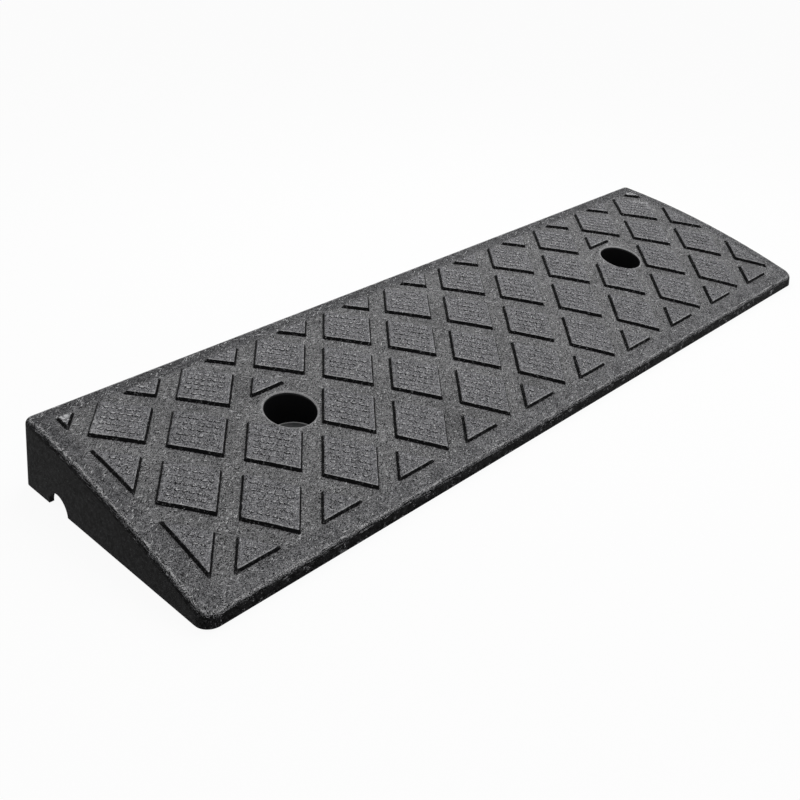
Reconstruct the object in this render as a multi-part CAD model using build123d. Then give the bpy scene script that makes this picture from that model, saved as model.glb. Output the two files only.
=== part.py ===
from build123d import *
import os
from math import atan2, cos, hypot, radians, sin, tan

# Plastic threshold ramp: one hollow ribbed moulding with a raised diamond tread, a steel
# washer in each fixing hole and rubber feet pressed into its underside.
# Millimetres. +Z is up, X runs along the ramp, the low lip faces -Y and the tall wall +Y.
# The origin is on the ground at the middle of the footprint.

# Outer shape
length = 600.0            # footprint along X
depth = 178.0             # footprint along Y
rear_height = 46.5        # ground to the top edge of the tall wall
lip_height = 9.0          # ground to the top edge of the front lip
crown_rise = 5.4          # how far the curved top stands above a straight slope
draft_angle = 4.5         # inward lean of the ends and the lip, degrees
rear_angle = 8.0          # inward lean of the tall wall, degrees
front_corner = 9.0        # upright corners at the lip
rear_corner = 5.0         # upright corners at the tall wall
edge_radius = 4.0         # rounding all along the top edge

# Moulding
wall = 3.0                # outer walls
skin = 4.0                # top face
rib = 2.5                 # stiffening ribs
cross_bays = 10           # cells along X
long_bays = 3             # cells along Y

# Tread
rear_margin = 14.0        # plain border along the rear top edge
front_margin = 12.5       # plain border along the lip
end_margin = 16.5         # plain border at both ends, from the footprint
tread_columns = 10        # diamonds in a full row
tread_steps = 5           # half rows from the rear row's centre line to the front row's
end_overhang = 2.0        # end diamonds' centres, beyond the tread field
rear_overhang = 8.6       # rear diamonds' centres, beyond the tread field
front_overhang = 6.6      # front diamonds' centres, beyond the tread field
groove = 10.9             # gap between neighbouring diamonds, at the top face
pad_height = 2.0          # rise of the diamonds
pad_draft = 25.0          # slope of their sides, degrees from upright
pad_corner = 0.8          # rounding of their corners, seen from above
pad_round = 0.5           # rounding on their upper edges
pad_root = 1.0            # how deep they run into the skin

# Fixing holes
hole_column = 4           # half columns from the end column to each hole
hole_y = 1.2              # hole centres
anchor = 12.0             # thread size of the anchor bolts
anchor_clearance = 1.0    # bolt hole over the anchor
washer_diameter = 30.0
washer_clearance = 1.0    # round the washer in its counterbore
washer_thickness = 2.5
washer_top = 16.0         # ground to the washer's upper face
rim_chamfer = 0.6
rim_land = 4.0            # bare strip behind the hole's rim, before the cut diamond
boss_wall = 3.5           # plastic round the counterbore

# Cable and drain passage along the tall wall
passage_width = 20.5
passage_inset = 39.0      # rear of the footprint to the passage's middle

# Feet
foot_diameter = 16.0
foot_thickness = 4.0
foot_chamfer = 0.8        # on the edge that meets the ground
foot_stand = 1.0          # how far the feet hold the moulding off the ground
foot_clearance = 0.2      # round each foot in its socket
socket_wall = 2.5         # plastic round a socket
foot_columns = 4
foot_end_inset = 33.0     # end of the footprint to the outer feet
foot_rear_inset = 13.5    # rear of the footprint to the rear feet
foot_front_inset = 17.0   # front of the footprint to the front feet

# Derived places
lean = tan(radians(draft_angle))
rear_lean = tan(radians(rear_angle))
rear_top_y = depth / 2 - (rear_height - foot_stand) * rear_lean
lip_top_y = -depth / 2 + (lip_height - foot_stand) * lean

chord = hypot(rear_top_y - lip_top_y, rear_height - lip_height)
slope = atan2(rear_height - lip_height, rear_top_y - lip_top_y)
crown_radius = chord ** 2 / (8 * crown_rise) + crown_rise / 2
crown_y = (rear_top_y + lip_top_y) / 2 + (crown_radius - crown_rise) * sin(slope)
crown_z = (rear_height + lip_height) / 2 - (crown_radius - crown_rise) * cos(slope)

field_x = length / 2 - end_margin
field_rear = rear_top_y - rear_margin
field_front = lip_top_y + front_margin
half_column = (field_x + end_overhang) / tread_columns
half_row = (field_rear - field_front + rear_overhang + front_overhang) / tread_steps
pad_ratio = 1 - groove * hypot(half_column, half_row) / (2 * half_column * half_row)

hole_x = (tread_columns - hole_column) * half_column
bolt_hole = anchor + anchor_clearance
counterbore = washer_diameter + 2 * washer_clearance
rim_radius = counterbore / 2 + rim_chamfer
washer_seat = washer_top - washer_thickness
passage_y = depth / 2 - passage_inset
socket_top = foot_thickness
foot_x = length / 2 - foot_end_inset
foot_rows = {"rear": depth / 2 - foot_rear_inset, "front": -depth / 2 + foot_front_inset}
high = 2 * rear_height


def crown_at(y):
    """Height of the plain top face at a place across the ramp."""
    return crown_z + (crown_radius ** 2 - (y - crown_y) ** 2) ** 0.5


def under_crown(offset):
    """Everything below the top face, raised or lowered by an offset."""
    return Pos(0, crown_y, crown_z) * Rot(0, 90, 0) * Cylinder(crown_radius + offset, 2 * length)


def upright(radius, x, y, bottom, top):
    """A vertical cylinder between two heights."""
    return Pos(x, y, (bottom + top) / 2) * Cylinder(radius, top - bottom)


def corner_edges(solid):
    """The upright edges of a block, the two at the lip first."""
    return solid.edges().filter_by(lambda edge: abs(edge.tangent_at(0.5).Z) > 0.5).sort_by(Axis.Y)


def block(inset):
    """The drafted footprint, set in from its walls and carried up past the top face."""
    end, rear, front = length / 2 - inset, depth / 2 - inset, inset - depth / 2
    along = Polygon((-end, 0), (end, 0), (end - high * lean, high), (high * lean - end, high), align=None)
    across = Polygon(
        (front, 0), (rear, 0), (rear - high * rear_lean, high), (front + high * lean, high), align=None
    )
    solid = extrude(Plane.XZ * along, depth, both=True) & extrude(Plane.YZ * across, length, both=True)
    solid = fillet(corner_edges(solid)[:2], front_corner - inset)
    solid = fillet(corner_edges(solid)[-2:], rear_corner - inset)
    return Pos(0, 0, foot_stand) * solid


def spread(count, reach):
    """Evenly spaced places from -reach to +reach."""
    return [reach * (2 * k / (count - 1) - 1) for k in range(count)]


def hole_places():
    return [(-hole_x, hole_y), (hole_x, hole_y)]


def foot_places():
    """Name and place of each foot."""
    return {
        f"foot_{row}_{k + 1}": (x, y)
        for row, y in foot_rows.items()
        for k, x in enumerate(spread(foot_columns, foot_x))
    }


def wedge():
    """The outer shape with its rounded top edge."""
    solid = block(0) & under_crown(0)
    top = solid.faces().sort_by(Axis.Z)[-1]
    return fillet(top.edges(), edge_radius)


def ribs(cavity):
    """Stiffening ribs that fill the cavity's height."""
    bay_x = (length - 2 * wall) / cross_bays
    bay_y = (depth - 2 * wall) / long_bays
    plates = [
        Pos((k - cross_bays / 2) * bay_x, 0, 0) * Box(rib, depth, 2 * high)
        for k in range(1, cross_bays)
    ] + [
        Pos(0, (k - long_bays / 2) * bay_y, 0) * Box(length, rib, 2 * high)
        for k in range(1, long_bays)
    ]
    return [plate & cavity for plate in plates]


def posts(cavity):
    """Solid columns round the fixing holes and the foot sockets."""
    boss_radius = counterbore / 2 + boss_wall
    post_radius = foot_diameter / 2 + foot_clearance + socket_wall
    columns = [upright(boss_radius, x, y, 0, high) for x, y in hole_places()]
    columns += [upright(post_radius, x, y, 0, high) for x, y in foot_places().values()]
    return [column & cavity for column in columns]


def diamond(column, row):
    """Seat plane and outline of one tread diamond, cut at the edge of the field and at a hole."""
    x = (column - tread_columns) * half_column
    y = field_rear + rear_overhang - row * half_row
    end, rear, front = length, depth, -depth
    if column in (0, 2 * tread_columns):
        end = field_x
    if row == 0:
        rear = field_rear
    if row == tread_steps:
        front = field_front
    if row == 2 and column in (hole_column, 2 * tread_columns - hole_column):
        front = hole_y + rim_radius + rim_land
    seat = Plane((x, y, crown_at(y)), (1, 0, 0), (0, y - crown_y, crown_at(y) - crown_z))
    stretch = 1 / seat.z_dir.Z
    reach_x, reach_y = pad_ratio * half_column, pad_ratio * half_row * stretch
    whole = Polygon((-reach_x, 0), (0, -reach_y), (reach_x, 0), (0, reach_y), align=None)
    field = Rectangle(2 * end, (rear - front) * stretch)
    return seat, whole & Pos(-x, ((rear + front) / 2 - y) * stretch) * field


def tread():
    """The raised diamonds with sloping sides, following the curved top."""
    crest = under_crown(pad_height)
    flare = pad_root * tan(radians(pad_draft))
    pads = []
    for row in range(tread_steps + 1):
        for column in range(row % 2, 2 * tread_columns + 1, 2):
            seat, outline = diamond(column, row)
            root = seat.offset(-pad_root) * offset(outline, flare, kind=Kind.INTERSECTION)
            pad = extrude(root, amount=pad_height + 2 * pad_root, taper=pad_draft) & crest
            corners = [edge for edge in pad.edges() if abs(edge.tangent_at(0.5).dot(seat.z_dir)) > 0.3]
            pad = fillet(corners, pad_corner)
            top = pad.faces().sort_by(Axis(seat.origin, seat.z_dir))[-1]
            pads.append(fillet(top.edges(), pad_round))
    return pads


def fixing_holes(body):
    """Counterbored holes for the anchors, with a chamfered rim."""
    for x, y in hole_places():
        body -= upright(counterbore / 2, x, y, washer_seat, high)
        body -= upright(bolt_hole / 2, x, y, -high, high)
    rims = []
    for x, y in hole_places():
        centres = [(edge, edge.center(CenterOf.BOUNDING_BOX)) for edge in body.edges()]
        rings = ShapeList(edge for edge, c in centres if hypot(c.X - x, c.Y - y) < wall)
        rims.append(rings.sort_by(Axis.Z)[-1])
    return chamfer(rims, rim_chamfer)


def ramp_body():
    """The moulding: wedge, tread, cavity, ribs, holes, passage and foot sockets."""
    cavity = block(wall) & under_crown(-skin)
    body = wedge() - cavity
    body = body + ribs(cavity) + posts(cavity)
    body = fixing_holes(body)
    body = body + tread()
    body -= Pos(0, passage_y, foot_stand) * Rot(0, 90, 0) * Cylinder(passage_width / 2, 2 * length)
    for x, y in foot_places().values():
        body -= upright(foot_diameter / 2 + foot_clearance, x, y, -high, socket_top)
    return body


def washer(x, y):
    """Steel washer lying on the floor of a fixing hole."""
    ring = upright(washer_diameter / 2, x, y, washer_seat, washer_top)
    return ring - upright(bolt_hole / 2, x, y, washer_seat, washer_top)


def foot(x, y):
    """Rubber foot pressed up to the roof of its socket, with its lower edge eased."""
    disc = upright(foot_diameter / 2, x, y, 0, socket_top)
    return chamfer(disc.edges().sort_by(Axis.Z)[0], foot_chamfer)


def build():
    parts = {"ramp_body": ramp_body()}
    for side, (x, y) in zip(("left", "right"), hole_places()):
        parts[f"washer_{side}"] = washer(x, y)
    for name, (x, y) in foot_places().items():
        parts[name] = foot(x, y)
    return parts


os.makedirs("parts", exist_ok=True)
for name, part in build().items():
    part.label = name
    export_step(part, f"parts/{name}.step")
    print(name, "solids", len(part.solids()), "volume", round(part.volume))
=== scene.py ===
from math import atan2, cos, hypot, pi, radians, sin, sqrt, tan
from random import Random
from types import SimpleNamespace

import bmesh
import bpy
from mathutils import Matrix, Vector


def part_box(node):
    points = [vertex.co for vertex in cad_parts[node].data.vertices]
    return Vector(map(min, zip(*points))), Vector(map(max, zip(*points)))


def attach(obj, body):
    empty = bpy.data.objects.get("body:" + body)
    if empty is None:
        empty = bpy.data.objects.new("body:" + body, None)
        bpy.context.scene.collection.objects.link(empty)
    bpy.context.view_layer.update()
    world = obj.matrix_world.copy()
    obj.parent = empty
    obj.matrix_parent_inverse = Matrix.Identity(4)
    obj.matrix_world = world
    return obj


# Plastic threshold ramp on a pale studio floor. Sizes are in millimetres up to the helpers,
# which turn them into the metres of the frame. X runs along the ramp, the lip faces -Y.

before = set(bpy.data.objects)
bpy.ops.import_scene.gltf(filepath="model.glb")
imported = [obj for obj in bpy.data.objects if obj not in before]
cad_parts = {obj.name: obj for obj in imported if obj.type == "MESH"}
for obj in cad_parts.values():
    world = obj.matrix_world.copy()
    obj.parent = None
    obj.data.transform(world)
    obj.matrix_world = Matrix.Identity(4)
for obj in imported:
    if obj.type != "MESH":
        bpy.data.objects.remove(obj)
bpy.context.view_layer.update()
MM = 0.001

# Outer shape, as the solids have it
body_low, body_high = [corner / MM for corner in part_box("ramp_body")]
LENGTH = body_high.x - body_low.x
DEPTH = body_high.y - body_low.y
FOOT_STAND = body_low.z
REAR_HEIGHT = 46.5
LIP_HEIGHT = 9.0
CROWN_RISE = 5.4
DRAFT = tan(radians(4.5))
REAR_DRAFT = tan(radians(8.0))

# Tread diamonds and fixing holes, as the solids have them
REAR_MARGIN, FRONT_MARGIN, END_MARGIN = 14.0, 12.5, 16.5
REAR_OVERHANG, FRONT_OVERHANG, END_OVERHANG = 8.6, 6.6, 2.0
TREAD_COLUMNS, TREAD_STEPS = 10, 5
GROOVE = 10.9
PAD_HEIGHT = 2.0
PAD_DRAFT = tan(radians(25.0))
HOLE_ROW, HOLE_COLUMN = 2, 4
HOLE_Y = 1.2
HOLE_REACH = 20.6         # hole's middle to the cut edge of the diamond behind it
HOLE_RADIUS = 16.0
WASHER_RADIUS = 15.0

# Rows of low dashes on the diamonds
ROWS = 5
ROW_PITCH = 5.0
ROW_BORDER = 3.1          # plain face left round the rows
REAR_BORDER = 1.0         # the same along the rear of the tread
ROW_STRAY = 0.2           # how far a row lies out of its place
DASH_WIDTH, DASH_TOP = 1.7, 1.2
DASH_HEIGHT = (0.18, 0.36)  # least and most
DASH_RUN = (2.4, 4.8)
DASH_GAP = (0.15, 0.7)
DASH_STRAY = 0.12         # out of line with its row
DASH_SINK = 0.15          # how deep the dashes run into the face
DASH_SIDES = 6
DASH_SHORTEST = 1.2
DASH_SEED = 4

# Sizes of the marks on the plastic
CRUMB = 0.3               # one crumb
FLOWS = ((35.0, 0.14), (-40.0, 0.14))  # direction of the drawn-out crumbs, and width over length
CRUMB_HEIGHT = 0.25
RAGGED = 1.6              # chips and scuffs along the edges
PATCH = 35.0              # lighter and darker areas
BLOTCH = 7.0              # lighter and darker spots on the border
SCUFF = 3.0               # faint marks on the walls
EDGE_LINE = 8.0           # length of the fine lines along the outer edges
EDGE_TURN = 8.0           # how many of them lie between the top and a wall
FOOT_SHADE = 0.9          # reach of the painted shade in the corner round a diamond's foot
RIM_WEAR = 1.6            # width of the rubbed edge on a diamond
HOLE_RING = (1.6, 0.9)    # outer and full width of the bare ring round a hole
HOLE_RUB = (2.2, 0.6)     # depths in a hole between which its wall is rubbed grey
BORDER_FADE = (-2.0, 4.0)  # past the tread's edge, where its finish gives way to the border's
REAR_WEAR = (40.0, 6.0)   # in front of the tread's rear edge, where the wear starts and is full
END_WEAR = (20.0, 14.0)   # the same from the tread's ends
MOTTLE = 2.5              # spots on the washers
WASHER_BLOOM_AND_HIGHLIGHT = (1.2, 0.6)  # start and full width of the pale edge of a washer: partly zinc bloom, partly a painted highlight on its rim
BLOOM = 1.5               # dusty spots on the feet

# Heights over the plain top face between which the finish changes
PAD_SIDE = (0.2, 0.5)
PAD_TONE = (1.0, 2.0)
PAD_EDGE = (1.2, 1.6)
PAD_FACE = (1.85, 1.95)
DASH_FOOT = (2.0, 2.05)
DASH_WALL = (2.1, 2.02)
DASH_FACE = (2.08, 2.25)

# Sides that wear differently, and the sides given painted shade and a painted highlight
WHEEL_AND_HIGHLIGHT_SIDE = (-0.3, -0.95, 0.0)        # where wheels come from, which rubs the edges they meet; those edges also get a painted highlight
SHADED_EDGE_SIDE = (-0.75, 0.66, 0.0)          # edges facing away from the light, left black as painted shade
DASH_FRONT = (-0.7, -0.7, 0.0)         # the side of a dash left black as painted shade, with painted shade also in the corner in front of it

# Camera, from the photograph's viewing angle
CAMERA_PLACE = (-486.2, -400.7, 333.2)
CAMERA_AZIMUTH, CAMERA_ELEVATION, CAMERA_ROLL = -45.36, 30.0, 0.473
CAMERA_LENS = 44.8
SENSOR = 36.0
CLIP_START = 10.0

# Light and floor, with places and sizes in metres
AMBIENT = 0.58
LAMP_PLACE = (0.2, 0.1, 0.6)
LAMP_SIZE = 0.6
LAMP_POWER = 2.05
FLOOR_HALF = 4.0
FLOOR_GLOW = 0.93         # share of the floor's white that no shadow dims

# Places that follow from the sizes
rear_top = DEPTH / 2 - (REAR_HEIGHT - FOOT_STAND) * REAR_DRAFT
lip_top = -DEPTH / 2 + (LIP_HEIGHT - FOOT_STAND) * DRAFT
chord = hypot(rear_top - lip_top, REAR_HEIGHT - LIP_HEIGHT)
slope = atan2(REAR_HEIGHT - LIP_HEIGHT, rear_top - lip_top)
crown_radius = chord ** 2 / (8 * CROWN_RISE) + CROWN_RISE / 2
crown_y = (rear_top + lip_top) / 2 + (crown_radius - CROWN_RISE) * sin(slope)
crown_z = (REAR_HEIGHT + LIP_HEIGHT) / 2 - (crown_radius - CROWN_RISE) * cos(slope)

field_end = LENGTH / 2 - END_MARGIN
field_rear = rear_top - REAR_MARGIN
field_front = lip_top + FRONT_MARGIN
half_column = (field_end + END_OVERHANG) / TREAD_COLUMNS
half_row = (field_rear - field_front + REAR_OVERHANG + FRONT_OVERHANG) / TREAD_STEPS
hole_x = (TREAD_COLUMNS - HOLE_COLUMN) * half_column
pad_ratio = 1 - GROOVE * hypot(half_column, half_row) / (2 * half_column * half_row)


def linear(hex_colour):
    """An sRGB hex colour as linear red, green, blue and alpha."""
    parts = [int(hex_colour[k:k + 2], 16) / 255 for k in (1, 3, 5)]
    return [c / 12.92 if c <= 0.04045 else ((c + 0.055) / 1.055) ** 2.4 for c in parts] + [1.0]


def add(tree, kind, settings, inputs):
    """Adds a node with its settings and its inputs, given by name or, as a list, in order. An input is
    a value, a socket, or a node whose first output in use is taken."""
    node = tree.nodes.new(kind)
    for name, value in settings.items():
        setattr(node, name, value)
    in_use = [socket for socket in node.inputs if socket.enabled]
    named = inputs.items() if isinstance(inputs, dict) else enumerate(inputs)
    for key, value in named:
        socket = in_use[key] if isinstance(key, int) else node.inputs[key]
        if isinstance(value, bpy.types.Node):
            value = next(output for output in value.outputs if output.enabled)
        if isinstance(value, bpy.types.NodeSocket):
            tree.links.new(value, socket)
        else:
            socket.default_value = value
    return node


def new_material(name):
    """An empty node material and its tree."""
    material = bpy.data.materials.new(name)
    material.use_nodes = True
    material.node_tree.nodes.clear()
    return material, material.node_tree


def per_mm(size):
    """Texture scale whose pattern repeats about once in a size."""
    return 1 / (size * MM)


def over_top(tree, spot, normal):
    """Height over the plain top face in millimetres, and how squarely a face looks out from it:
    1 on the top and the diamonds, near 0 on the walls."""
    arm = add(tree, "ShaderNodeVectorMath", {"operation": "MULTIPLY_ADD"},
              [spot, (0, 1 / MM, 1 / MM), (0, -crown_y, -crown_z)])
    reach = add(tree, "ShaderNodeVectorMath", {"operation": "LENGTH"}, [arm])
    rise = add(tree, "ShaderNodeMath", {"operation": "SUBTRACT"}, [reach, crown_radius])
    outward = add(tree, "ShaderNodeVectorMath", {"operation": "NORMALIZE"}, [arm])
    facing = add(tree, "ShaderNodeVectorMath", {"operation": "DOT_PRODUCT"}, [outward, normal])
    return rise, facing


def crumb_grain(tree, spot):
    """Tone of the ground-up plastic: crumbs, and crumbs drawn out by the flow in two directions.
    Also gives the few of both that are bright specks and scratches."""
    crumb = add(tree, "ShaderNodeTexVoronoi", {}, {"Vector": spot, "Scale": per_mm(CRUMB)})
    parts = add(tree, "ShaderNodeSeparateColor", {}, [crumb.outputs["Color"]])
    tone, chance = parts.outputs["Red"], parts.outputs["Green"]
    for angle, stretch in FLOWS:
        turned = add(tree, "ShaderNodeMapping", {"vector_type": "TEXTURE"},
                     {"Vector": spot, "Rotation": (0, 0, radians(angle)), "Scale": (1 / stretch, 1, 1)})
        flow = add(tree, "ShaderNodeTexVoronoi", {}, {"Vector": turned, "Scale": per_mm(CRUMB)})
        parts = add(tree, "ShaderNodeSeparateColor", {}, [flow.outputs["Color"]])
        tone = add(tree, "ShaderNodeMath", {"operation": "MULTIPLY_ADD"}, [parts.outputs["Red"], 0.45, tone])
        chance = add(tree, "ShaderNodeMath", {"operation": "MAXIMUM"}, [chance, parts.outputs["Green"]])
    grain = add(tree, "ShaderNodeMapRange", {}, {"Value": tone, "From Min": 0.6, "From Max": 1.3})
    speck = add(tree, "ShaderNodeMapRange", {}, {"Value": chance, "From Min": 0.978, "From Max": 0.992})
    return grain, speck


def outside_field(tree, spot):
    """0 on the tread, 1 on the border round it and on the outer walls."""
    middle, reach = (field_rear + field_front) / 2, (field_rear - field_front) / 2
    moved = add(tree, "ShaderNodeVectorMath", {"operation": "SUBTRACT"}, [spot, (0, middle * MM, 0)])
    size = add(tree, "ShaderNodeVectorMath", {"operation": "ABSOLUTE"}, [moved])
    over = add(tree, "ShaderNodeVectorMath", {"operation": "SUBTRACT"},
               [size, (field_end * MM, reach * MM, 0)])
    parts = add(tree, "ShaderNodeSeparateXYZ", {}, [over])
    most = add(tree, "ShaderNodeMath", {"operation": "MAXIMUM"}, [parts.outputs["X"], parts.outputs["Y"]])
    start, full = BORDER_FADE
    return add(tree, "ShaderNodeMapRange", {},
               {"Value": most, "From Min": start * MM, "From Max": full * MM})


def from_hole(tree, spot):
    """Distance from the axis of the nearer fixing hole, in metres."""
    moved = add(tree, "ShaderNodeVectorMath", {"operation": "MULTIPLY_ADD"},
                [spot, (1, 1, 0), (0, -HOLE_Y * MM, 0)])
    folded = add(tree, "ShaderNodeVectorMath", {"operation": "ABSOLUTE"}, [moved])
    return add(tree, "ShaderNodeVectorMath", {"operation": "DISTANCE"}, [folded, (hole_x * MM, 0, 0)])


def surface_readings(tree):
    """What the plastic's finish goes by at each place. The tilt of a rounded normal tells how near a
    diamond's upper edge is and which way it looks. The lines follow the outer edges, because there
    the normal changes only across them."""
    place = add(tree, "ShaderNodeTexCoord", {}, {})
    spot, normal = place.outputs["Object"], place.outputs["Normal"]
    rise, facing = over_top(tree, spot, normal)
    grain, speck = crumb_grain(tree, spot)
    ragged = add(tree, "ShaderNodeTexNoise", {},
                 {"Vector": spot, "Scale": per_mm(RAGGED), "Detail": 4.0, "Roughness": 0.7})
    on_pad = add(tree, "ShaderNodeMapRange", {}, [rise, *PAD_EDGE])
    on_dash = add(tree, "ShaderNodeMapRange", {}, [rise, *DASH_FACE])
    eased = add(tree, "ShaderNodeBevel", {"samples": 6}, {"Radius": RIM_WEAR * MM})
    tilt = add(tree, "ShaderNodeVectorMath", {"operation": "SUBTRACT"}, [eased, normal])
    met = add(tree, "ShaderNodeVectorMath", {"operation": "DOT_PRODUCT"}, [tilt, WHEEL_AND_HIGHLIGHT_SIDE])
    turning = add(tree, "ShaderNodeVectorMath", {"operation": "SCALE"}, [normal, EDGE_TURN])
    lined = add(tree, "ShaderNodeVectorMath", {"operation": "MULTIPLY_ADD"},
                [spot, [per_mm(EDGE_LINE)] * 3, turning])
    line = add(tree, "ShaderNodeTexNoise", {},
               {"Vector": lined, "Scale": 1.0, "Detail": 4.0, "Roughness": 0.75})
    outer, full = HOLE_RING
    by_hole = add(tree, "ShaderNodeMapRange", {},
                  {"Value": from_hole(tree, spot), "From Min": (HOLE_RADIUS + outer) * MM,
                   "From Max": (HOLE_RADIUS + full) * MM})
    return SimpleNamespace(spot=spot, normal=normal, rise=rise, facing=facing, grain=grain, speck=speck,
                           ragged=ragged, on_pad=on_pad, on_dash=on_dash, tilt=tilt, met=met, line=line,
                           by_hole=by_hole, border=outside_field(tree, spot))


def scuff_and_sheen_grey(tree, at):
    """Grey of the grooves, partly scuffs and partly painted sheen on the faces that look up, darker on the
    border and most so at the rear, where the darkening is painted shade, paler on the diamonds and on their
    dashes, whose near white tops are partly wear and partly a painted highlight, broken up by the crumbs."""
    patch = add(tree, "ShaderNodeTexNoise", {}, {"Vector": at.spot, "Scale": per_mm(PATCH), "Detail": 5.0})
    shades = add(tree, "ShaderNodeMapRange", {}, {"Value": patch, "From Min": 0.3, "From Max": 0.7})
    groove = add(tree, "ShaderNodeMix", {"data_type": "RGBA"}, [shades, linear("#868687"), linear("#a0a0a1")])
    blotch = add(tree, "ShaderNodeTexNoise", {}, {"Vector": at.spot, "Scale": per_mm(BLOTCH), "Detail": 2.0})
    blotches = add(tree, "ShaderNodeMapRange", {}, {"Value": blotch, "From Min": 0.35, "From Max": 0.65})
    back = add(tree, "ShaderNodeSeparateXYZ", {}, [at.spot]).outputs["Y"]
    # Painted shade: the border darkens from the lip towards the rear.
    rear_shading = add(tree, "ShaderNodeMapRange", {}, [back, lip_top * MM, rear_top * MM])
    least = add(tree, "ShaderNodeMix", {"data_type": "RGBA"}, [rear_shading, linear("#7d7d7f"), linear("#656567")])
    most = add(tree, "ShaderNodeMix", {"data_type": "RGBA"}, [rear_shading, linear("#98989a"), linear("#7b7b7d")])
    margin = add(tree, "ShaderNodeMix", {"data_type": "RGBA"}, [blotches, least, most])
    low = add(tree, "ShaderNodeMix", {"data_type": "RGBA"}, [at.border, groove, margin])
    height = add(tree, "ShaderNodeMapRange", {}, [at.rise, *PAD_TONE])
    pad = add(tree, "ShaderNodeMix", {"data_type": "RGBA"}, [height, low, linear("#98989b")])
    # Partly wear, partly a painted highlight: the dashes' tops are near white.
    pale = add(tree, "ShaderNodeMix", {"data_type": "RGBA"}, [at.on_dash, pad, linear("#d8d8da")])
    return add(tree, "ShaderNodeMix", {"data_type": "RGBA"}, [at.grain, linear("#171718"), pale])


def unshaded_by_corners(tree, at):
    """1 on open faces, 0 in the inner corners, which are given painted shade: at the foot of a diamond and,
    more faintly, in front of a dash."""
    # The occlusion is sought leaning away from DASH_FRONT, so that the painted shade falls in front of the
    # dashes.
    leaning = add(tree, "ShaderNodeVectorMath", {"operation": "MULTIPLY_ADD"},
                  [DASH_FRONT, (-0.4, -0.4, -0.4), at.normal])
    corner = add(tree, "ShaderNodeAmbientOcclusion", {"samples": 8},
                 {"Distance": FOOT_SHADE * MM, "Normal": leaning})
    hidden = add(tree, "ShaderNodeMath", {"operation": "SUBTRACT"}, [1.0, corner.outputs["AO"]])
    shade_ragging = add(tree, "ShaderNodeMapRange", {},
               {"Value": at.ragged, "From Min": 0.35, "From Max": 0.65, "To Min": 2.2, "To Max": 0.2})
    by_dash = add(tree, "ShaderNodeMapRange", {}, [at.rise, *PAD_FACE, 1.0, 0.42])
    ragged_shade = add(tree, "ShaderNodeMath", {"operation": "MULTIPLY"}, [hidden, shade_ragging])
    painted_shade = add(tree, "ShaderNodeMath", {"operation": "MULTIPLY"}, [ragged_shade, by_dash])
    return add(tree, "ShaderNodeMapRange", {"interpolation_type": "SMOOTHSTEP"},
               {"Value": painted_shade, "From Min": 0.5, "From Max": 0.18})


def rubbed_edges_and_highlight(tree, at, clear):
    """Upper edges of the diamonds on the side that wheels meet, made pale: partly wear, partly a painted
    highlight.
    """
    near_edge = add(tree, "ShaderNodeMapRange", {}, {"Value": at.met, "From Min": 0.04, "From Max": 0.25})
    off_dash = add(tree, "ShaderNodeMapRange", {}, [at.rise, *DASH_WALL])
    on_face = add(tree, "ShaderNodeMath", {"operation": "MULTIPLY"}, [at.on_pad, off_dash])
    pad_rim = add(tree, "ShaderNodeMath", {"operation": "MULTIPLY"}, [near_edge, on_face])
    convex = add(tree, "ShaderNodeMath", {"operation": "MULTIPLY"}, [pad_rim, clear])
    rubbed = add(tree, "ShaderNodeMapRange", {}, {"Value": at.ragged, "From Min": 0.35, "From Max": 0.55})
    return add(tree, "ShaderNodeMath", {"operation": "MULTIPLY"}, [convex, rubbed])


def rear_wear(tree, at):
    """Dashes towards the rear of the tread, and the faces of its rear corners."""
    folded = add(tree, "ShaderNodeVectorMath", {"operation": "ABSOLUTE"}, [at.spot])
    far_out = add(tree, "ShaderNodeSeparateXYZ", {}, [folded]).outputs["X"]
    far_back = add(tree, "ShaderNodeSeparateXYZ", {}, [at.spot]).outputs["Y"]
    rear_row = add(tree, "ShaderNodeMapRange", {}, [far_back, *((field_rear - d) * MM for d in REAR_WEAR)])
    rear_pad = add(tree, "ShaderNodeMath", {"operation": "MULTIPLY"}, [rear_row, at.on_dash])
    patchy = add(tree, "ShaderNodeMapRange", {}, {"Value": at.ragged, "From Min": 0.42, "From Max": 0.54})
    rear_dash = add(tree, "ShaderNodeMath", {"operation": "MULTIPLY"}, [rear_pad, patchy])
    at_end = add(tree, "ShaderNodeMapRange", {}, [far_out, *((field_end - d) * MM for d in END_WEAR)])
    scraped = add(tree, "ShaderNodeMapRange", {}, {"Value": at.ragged, "From Min": 0.5, "From Max": 0.55})
    end_scraped = add(tree, "ShaderNodeMath", {"operation": "MULTIPLY"}, [at_end, scraped])
    rear_end = add(tree, "ShaderNodeMath", {"operation": "MULTIPLY"}, [end_scraped, rear_row])
    rear_face = add(tree, "ShaderNodeMath", {"operation": "MULTIPLY"}, [rear_end, at.on_pad])
    return add(tree, "ShaderNodeMath", {"operation": "MAXIMUM"}, [rear_dash, rear_face])


def pale_ridge(tree, at):
    """Broken pale line along the outer edges, just where the top starts to turn down."""
    turned_in = add(tree, "ShaderNodeMapRange", {}, {"Value": at.facing, "From Min": 0.99, "From Max": 0.965})
    turned_out = add(tree, "ShaderNodeMapRange", {}, {"Value": at.facing, "From Min": 0.8, "From Max": 0.9})
    band = add(tree, "ShaderNodeMath", {"operation": "MULTIPLY"}, [turned_in, turned_out])
    crumbly = add(tree, "ShaderNodeMath", {"operation": "MULTIPLY_ADD"}, [at.grain, 0.2, at.line])
    broken = add(tree, "ShaderNodeMapRange", {}, {"Value": crumbly, "From Min": 0.64, "From Max": 0.69})
    pale_line = add(tree, "ShaderNodeMath", {"operation": "MULTIPLY"}, [band, broken])
    return add(tree, "ShaderNodeMath", {"operation": "MULTIPLY"}, [pale_line, at.border])


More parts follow.
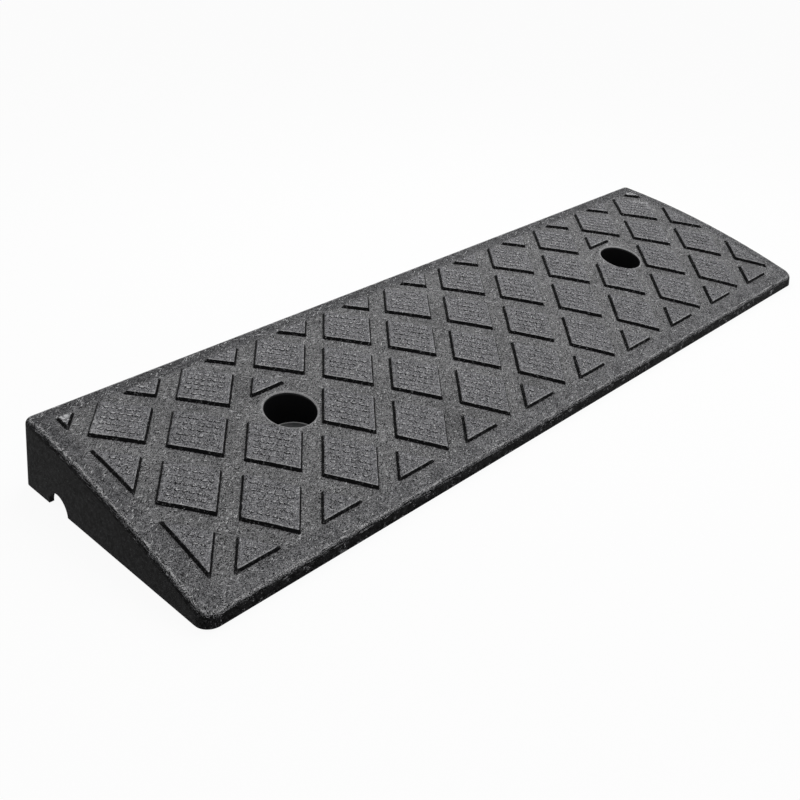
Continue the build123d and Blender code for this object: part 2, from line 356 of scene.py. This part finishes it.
def hole_ring(tree, at):
    """Smooth ring round the fixing holes, on the faces that look up."""
    eased_face = add(tree, "ShaderNodeMapRange", {}, {"Value": at.facing, "From Min": 0.45, "From Max": 0.6})
    return add(tree, "ShaderNodeMath", {"operation": "MULTIPLY"}, [at.by_hole, eased_face])


def worn_top_and_sheen(tree, at, clear, ring):
    """The grey of scuffs and painted sheen, with its bright parts: rubbed edges, which are partly a painted
    highlight, rear wear, ridge, specks and, less bright, the rings round the holes."""
    pad_wear_and_highlight = add(tree, "ShaderNodeMath", {"operation": "MAXIMUM"},
                   [rubbed_edges_and_highlight(tree, at, clear), rear_wear(tree, at)])
    edge_wear_and_highlight = add(tree, "ShaderNodeMath", {"operation": "MAXIMUM"}, [pad_wear_and_highlight, pale_ridge(tree, at)])
    partly_bare = add(tree, "ShaderNodeMath", {"operation": "MULTIPLY"}, [ring, 0.35])
    wear_and_highlight = add(tree, "ShaderNodeMath", {"operation": "MAXIMUM"}, [edge_wear_and_highlight, partly_bare])
    bright = add(tree, "ShaderNodeMath", {"operation": "MAXIMUM"}, [wear_and_highlight, at.speck])
    return add(tree, "ShaderNodeMix", {"data_type": "RGBA"},
               [bright, scuff_and_sheen_grey(tree, at), linear("#cacacb")])


def tread_scuff_and_sheen(tree, at):
    """How far the grey of scuffs and painted sheen reaches on the tread: the faces that look up, all but the
    front of the dashes, left black as painted shade, and a few nicks in the diamonds' sides, but not the
    edges facing away from the light, left black as painted shade."""
    torn = add(tree, "ShaderNodeMath", {"operation": "MULTIPLY_ADD"}, [at.ragged, 0.15, at.facing])
    upward = add(tree, "ShaderNodeMapRange", {"interpolation_type": "SMOOTHSTEP"},
                 {"Value": torn, "From Min": 0.95, "From Max": 1.02})
    # Painted shade: the sides of the dashes that face DASH_FRONT stay black.
    in_front = add(tree, "ShaderNodeVectorMath", {"operation": "DOT_PRODUCT"}, [at.normal, DASH_FRONT])
    other_side = add(tree, "ShaderNodeMapRange", {}, {"Value": in_front, "From Min": 0.3, "From Max": 0.15})
    by_rise = add(tree, "ShaderNodeMapRange", {}, [at.rise, *DASH_FOOT])
    unshaded_dash_side = add(tree, "ShaderNodeMath", {"operation": "MULTIPLY"}, [other_side, by_rise])
    flat = add(tree, "ShaderNodeMath", {"operation": "MAXIMUM"}, [upward, unshaded_dash_side])
    raised = add(tree, "ShaderNodeMapRange", {}, [at.rise, *PAD_SIDE])
    nick = add(tree, "ShaderNodeMapRange", {},
               {"Value": at.ragged, "From Min": 0.58, "From Max": 0.63, "To Max": 0.6})
    side_nick = add(tree, "ShaderNodeMath", {"operation": "MULTIPLY"}, [raised, nick])
    inner = add(tree, "ShaderNodeMath", {"operation": "MAXIMUM"}, [flat, side_nick])
    # Painted shade: the upper edges facing away from the light stay black.
    toward_shade = add(tree, "ShaderNodeVectorMath", {"operation": "DOT_PRODUCT"}, [at.tilt, SHADED_EDGE_SIDE])
    unshaded_edge = add(tree, "ShaderNodeMapRange", {}, {"Value": toward_shade, "From Min": 0.45, "From Max": 0.2})
    return add(tree, "ShaderNodeMath", {"operation": "MULTIPLY"}, [inner, unshaded_edge])


def border_scuff_and_sheen(tree, at):
    """The same grey of scuffs and painted sheen on the border, where it breaks up into fine flecks as the top
    turns down.
    """
    lines = add(tree, "ShaderNodeMath", {"operation": "MULTIPLY_ADD"}, [at.line, 2.4, -1.33])
    frayed = add(tree, "ShaderNodeMath", {"operation": "MULTIPLY_ADD"}, [at.grain, 0.35, lines])
    turn = add(tree, "ShaderNodeMapRange", {}, {"Value": at.facing, "From Min": 0.995, "From Max": 0.9})
    turned = add(tree, "ShaderNodeMath", {"operation": "MULTIPLY_ADD"}, [frayed, turn, at.facing])
    return add(tree, "ShaderNodeMapRange", {"interpolation_type": "SMOOTHSTEP"},
               {"Value": turned, "From Min": 0.72, "From Max": 0.92})


def scuff_and_sheen_share(tree, at, clear, ring):
    """0 on the walls as they left the tool and in the painted shade of the corners, 1 wherever the plastic
    shows the grey that stands for scuffs and for painted sheen on the faces that look up.
    """
    reached = add(tree, "ShaderNodeMix", {}, [at.border, tread_scuff_and_sheen(tree, at), border_scuff_and_sheen(tree, at)])
    notch = add(tree, "ShaderNodeMapRange", {}, {"Value": at.ragged, "From Min": 0.4, "From Max": 0.46})
    off_edge = add(tree, "ShaderNodeMapRange", {}, {"Value": at.met, "From Min": 0.3, "From Max": 0.12})
    whole = add(tree, "ShaderNodeMath", {"operation": "MAXIMUM"}, [notch, off_edge])
    left = add(tree, "ShaderNodeMath", {"operation": "MULTIPLY"}, [whole, clear])
    scuff_and_sheen = add(tree, "ShaderNodeMath", {"operation": "MULTIPLY"}, [reached, left])
    return add(tree, "ShaderNodeMath", {"operation": "MAXIMUM"}, [scuff_and_sheen, ring])


def drawn_walls(tree, at):
    """Walls as they left the tool: near black, the outer ones faintly marked and scratched, those of the
    holes rubbed grey at the top."""
    scuff = add(tree, "ShaderNodeTexNoise", {},
                {"Vector": at.spot, "Scale": per_mm(SCUFF), "Detail": 6.0, "Roughness": 0.7})
    scuffs = add(tree, "ShaderNodeMapRange", {}, {"Value": scuff, "From Min": 0.42, "From Max": 0.66})
    marked = add(tree, "ShaderNodeMix", {"data_type": "RGBA"}, [scuffs, linear("#010101"), linear("#202021")])
    scratch = add(tree, "ShaderNodeMath", {"operation": "MULTIPLY"}, [at.speck, 0.3])
    outer = add(tree, "ShaderNodeMix", {"data_type": "RGBA"}, [scratch, marked, linear("#6a6a6b")])
    shallow = add(tree, "ShaderNodeMapRange", {}, [at.rise, *(-depth for depth in HOLE_RUB)])
    hole_top = add(tree, "ShaderNodeMath", {"operation": "MULTIPLY"}, [at.by_hole, shallow])
    inside = add(tree, "ShaderNodeMix", {"data_type": "RGBA"},
                 [hole_top, linear("#131314"), linear("#404041")])
    return add(tree, "ShaderNodeMix", {"data_type": "RGBA"}, [at.border, inside, outer])


def regrind_plastic():
    """Recycled polyethylene pressed in a steel tool: smooth and near black on the drawn walls and
    in the corners, where the black is painted shade, given a speckled grey by scuffs wherever feet and wheels
    reach it, a grey that is partly painted sheen on the faces that look up, and rubbed to a paler grey on the
    diamonds and along every upper edge, with painted highlights on the dashes' tops and on the edges wheels
    meet."""
    material, tree = new_material("regrind_polyethylene")
    at = surface_readings(tree)
    # clear is 1 outside the painted shade of the corners, 0 inside it.
    clear = unshaded_by_corners(tree, at)
    ring = hole_ring(tree, at)
    # Share of grey: scuffs, and painted sheen on the faces that look up.
    scuff_and_sheen = scuff_and_sheen_share(tree, at, clear, ring)
    colour = add(tree, "ShaderNodeMix", {"data_type": "RGBA"},
                 [scuff_and_sheen, drawn_walls(tree, at), worn_top_and_sheen(tree, at, clear, ring)])
    rough = add(tree, "ShaderNodeMapRange", {}, {"Value": scuff_and_sheen, "To Min": 0.5, "To Max": 0.8})
    bump = add(tree, "ShaderNodeBump", {},
               {"Height": at.grain, "Strength": 0.5, "Distance": CRUMB_HEIGHT * MM})
    shader = add(tree, "ShaderNodeBsdfPrincipled", {},
                 {"Base Color": colour, "Roughness": rough, "Normal": bump, "IOR": 1.5,
                  "Specular IOR Level": 0.02})
    add(tree, "ShaderNodeOutputMaterial", {}, {"Surface": shader})
    return material


def zinc_plate():
    """Zinc plated steel, stamped and weathered: dull grey with a faint mottle, and chalky pale along its
    outer edge, partly where the zinc has bloomed and partly as a painted highlight on its rim."""
    material, tree = new_material("zinc_plated_steel")
    spot = add(tree, "ShaderNodeTexCoord", {}, {}).outputs["Object"]
    mottle = add(tree, "ShaderNodeTexNoise", {}, {"Vector": spot, "Scale": per_mm(MOTTLE), "Detail": 3.0})
    metal = add(tree, "ShaderNodeMix", {"data_type": "RGBA"}, [mottle, linear("#6e6f70"), linear("#9a9b9c")])
    # Pale edge: partly zinc bloom, partly a painted highlight on the rim.
    start, full = WASHER_BLOOM_AND_HIGHLIGHT
    bloom = add(tree, "ShaderNodeMapRange", {},
                {"Value": from_hole(tree, spot), "From Min": (WASHER_RADIUS - start) * MM,
                 "From Max": (WASHER_RADIUS - full) * MM})
    colour = add(tree, "ShaderNodeMix", {"data_type": "RGBA"}, [bloom, metal, linear("#e2e2e2")])
    bare = add(tree, "ShaderNodeMath", {"operation": "SUBTRACT"}, [1.0, bloom])
    rough = add(tree, "ShaderNodeMapRange", {}, {"Value": mottle, "To Min": 0.45, "To Max": 0.65})
    shader = add(tree, "ShaderNodeBsdfPrincipled", {},
                 {"Base Color": colour, "Roughness": rough, "Metallic": bare})
    add(tree, "ShaderNodeOutputMaterial", {}, {"Surface": shader})
    return material


def foot_rubber():
    """Moulded black rubber: matt, with a fine dusty bloom."""
    material, tree = new_material("moulded_rubber")
    spot = add(tree, "ShaderNodeTexCoord", {}, {}).outputs["Object"]
    bloom = add(tree, "ShaderNodeTexNoise", {}, {"Vector": spot, "Scale": per_mm(BLOOM), "Detail": 4.0})
    colour = add(tree, "ShaderNodeMix", {"data_type": "RGBA"}, [bloom, linear("#1a1a1a"), linear("#3a3a39")])
    shader = add(tree, "ShaderNodeBsdfPrincipled", {},
                 {"Base Color": colour, "Roughness": 0.85, "IOR": 1.52})
    add(tree, "ShaderNodeOutputMaterial", {}, {"Surface": shader})
    return material


def piece(name, bm, material):
    """A finished object from a bmesh."""
    mesh = bpy.data.meshes.new(name)
    bm.to_mesh(mesh)
    bm.free()
    mesh.materials.append(material)
    obj = bpy.data.objects.new(name, mesh)
    bpy.context.scene.collection.objects.link(obj)
    return obj


def crown_at(y):
    """Height of the plain top face across the ramp."""
    return crown_z + sqrt(crown_radius ** 2 - (y - crown_y) ** 2)


def pad_window(column, row):
    """Least and greatest x and y of the plain face that a cut diamond leaves for its dashes."""
    slant = PAD_HEIGHT * PAD_DRAFT
    end = field_end - slant - ROW_BORDER
    front = field_front + slant + ROW_BORDER if row == TREAD_STEPS else -DEPTH
    rear = field_rear - slant - REAR_BORDER if row == 0 else DEPTH
    if row == HOLE_ROW and column in (HOLE_COLUMN, 2 * TREAD_COLUMNS - HOLE_COLUMN):
        front = HOLE_Y + HOLE_REACH + slant + ROW_BORDER
    return (-end, end), (front, rear)


def row_span(middle, along, half_run, window):
    """Where a row along a line starts and stops, so that it stays inside the window."""
    start, stop = -half_run, half_run
    for at, step, (least, greatest) in zip(middle, along, window):
        first, last = sorted(((least - at) / step, (greatest - at) / step))
        start, stop = max(start, first), min(stop, last)
    return start, stop


def tread_dashes(material):
    """Five rows of low dashes on each diamond, cut short with it: along its front left edge, or along
    its rear left edge on the half diamonds at the right end."""
    draw = Random(DASH_SEED)
    reach_x = pad_ratio * half_column - PAD_HEIGHT * PAD_DRAFT
    reach_y = pad_ratio * half_row - PAD_HEIGHT * PAD_DRAFT
    side = hypot(reach_x, reach_y)
    along, across = Vector((reach_x, -reach_y)) / side, Vector((reach_x, reach_y)) / side
    lean = abs(along.x * across.y - along.y * across.x)
    half_run = side / 2 - ROW_BORDER / lean
    dashes = bmesh.new()
    for row in range(TREAD_STEPS + 1):
        for column in range(row % 2, 2 * TREAD_COLUMNS + 1, 2):
            centre = Vector(((column - TREAD_COLUMNS) * half_column,
                             field_rear + REAR_OVERHANG - row * half_row))
            window = pad_window(column, row)
            ahead, aside = (across, along) if column == 2 * TREAD_COLUMNS else (along, across)
            for k in range(ROWS):
                place = (k - (ROWS - 1) / 2) * ROW_PITCH + draw.uniform(-ROW_STRAY, ROW_STRAY)
                middle = centre + aside * place / lean
                start, stop = row_span(middle, ahead, half_run, window)
                while stop - start > DASH_SHORTEST:
                    run = min(draw.uniform(*DASH_RUN), stop - start)
                    stray = draw.uniform(-DASH_STRAY, DASH_STRAY)
                    spot = middle + ahead * (start + run / 2) + aside * stray
                    add_dash(dashes, spot, ahead, run, draw.uniform(*DASH_HEIGHT))
                    start += run + draw.uniform(*DASH_GAP)
    obj = piece("tread_dashes", dashes, material)
    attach(obj, "root")


def add_dash(dashes, spot, along, run, height):
    """One dash: a low blunt cone drawn out along its row and set down on the curved face of a diamond."""
    up = Vector((0, spot.y - crown_y, crown_at(spot.y) - crown_z)).normalized()
    ahead = along.to_3d()
    ahead = (ahead - up * ahead.dot(up)).normalized()
    base = Vector((0, crown_y, crown_z)) + up * (crown_radius + PAD_HEIGHT + (height - DASH_SINK) / 2)
    base.x = spot.x
    turn = Matrix((ahead, up.cross(ahead), up)).transposed().to_4x4()
    longer = Matrix.Diagonal((run / DASH_WIDTH, 1, 1, 1)) @ Matrix.Rotation(pi / DASH_SIDES, 4, "Z")
    place = Matrix.Scale(MM, 4) @ Matrix.Translation(base) @ turn @ longer
    bmesh.ops.create_cone(dashes, cap_ends=True, segments=DASH_SIDES, radius1=DASH_WIDTH / 2,
                          radius2=DASH_TOP / 2, depth=height + DASH_SINK, matrix=place)


def plainly_seen(tree):
    """1 where the eye meets a surface directly, in a mirror or through glass, and 0 for its light."""
    seen = add(tree, "ShaderNodeLightPath", {}, {})
    sharp = add(tree, "ShaderNodeMath", {"operation": "MAXIMUM"},
                [seen.outputs["Is Glossy Ray"], seen.outputs["Is Transmission Ray"]])
    return add(tree, "ShaderNodeMath", {"operation": "MAXIMUM"}, [seen.outputs["Is Camera Ray"], sharp])


def studio_floor():
    """Pale paper that stays white to the eye and keeps the ramp's shadow."""
    bm = bmesh.new()
    bmesh.ops.create_grid(bm, x_segments=8, y_segments=8, size=FLOOR_HALF)
    material, tree = new_material("pale_paper")
    share = add(tree, "ShaderNodeMath", {"operation": "MULTIPLY"}, [plainly_seen(tree), FLOOR_GLOW])
    paper = add(tree, "ShaderNodeBsdfDiffuse", {}, {"Color": linear("#f4f4f4")})
    glow = add(tree, "ShaderNodeEmission", {}, {"Color": linear("#ffffff"), "Strength": 1.0})
    both = add(tree, "ShaderNodeMixShader", {}, [share, paper, glow])
    add(tree, "ShaderNodeOutputMaterial", {}, {"Surface": both})
    piece("studio_floor", bm, material)


def studio_light():
    """Even white surroundings and one soft lamp above."""
    world = bpy.data.worlds.new("studio")
    bpy.context.scene.world = world
    world.use_nodes = True
    tree = world.node_tree
    tree.nodes.clear()
    strength = add(tree, "ShaderNodeMapRange", {},
                   {"Value": plainly_seen(tree), "To Min": AMBIENT, "To Max": 1.0})
    sky = add(tree, "ShaderNodeBackground", {}, {"Color": linear("#ffffff"), "Strength": strength})
    add(tree, "ShaderNodeOutputWorld", {}, {"Surface": sky})

    lamp = bpy.data.lights.new("soft_lamp", "AREA")
    lamp.shape = "DISK"
    lamp.size = LAMP_SIZE
    lamp.energy = LAMP_POWER
    obj = bpy.data.objects.new("soft_lamp", lamp)
    obj.location = LAMP_PLACE
    obj.rotation_euler = obj.location.to_track_quat("Z", "Y").to_euler()
    bpy.context.scene.collection.objects.link(obj)


def camera():
    """The photograph's viewpoint."""
    azimuth, elevation = radians(CAMERA_AZIMUTH), radians(CAMERA_ELEVATION)
    back = Vector((sin(azimuth) * cos(elevation), -cos(azimuth) * cos(elevation), sin(elevation)))
    data = bpy.data.cameras.new("camera")
    data.sensor_width = SENSOR
    data.lens = CAMERA_LENS
    data.clip_start = CLIP_START * MM
    obj = bpy.data.objects.new("camera", data)
    turn = back.to_track_quat("Z", "Y").to_matrix() @ Matrix.Rotation(radians(CAMERA_ROLL), 3, "Z")
    obj.matrix_world = Matrix.LocRotScale(Vector(CAMERA_PLACE) * MM, turn, None)
    bpy.context.scene.collection.objects.link(obj)
    bpy.context.scene.camera = obj


def dress_solids(plastic):
    """Finishes of the pieces that keep the shape of their solids."""
    zinc, rubber = zinc_plate(), foot_rubber()
    for name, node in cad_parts.items():
        finish = plastic if name == "ramp_body" else zinc if name.startswith("washer") else rubber
        node.data.materials.clear()
        node.data.materials.append(finish)


plastic = regrind_plastic()
dress_solids(plastic)
tread_dashes(plastic)
studio_floor()
studio_light()
camera()
bpy.context.scene.view_settings.view_transform = "Standard"
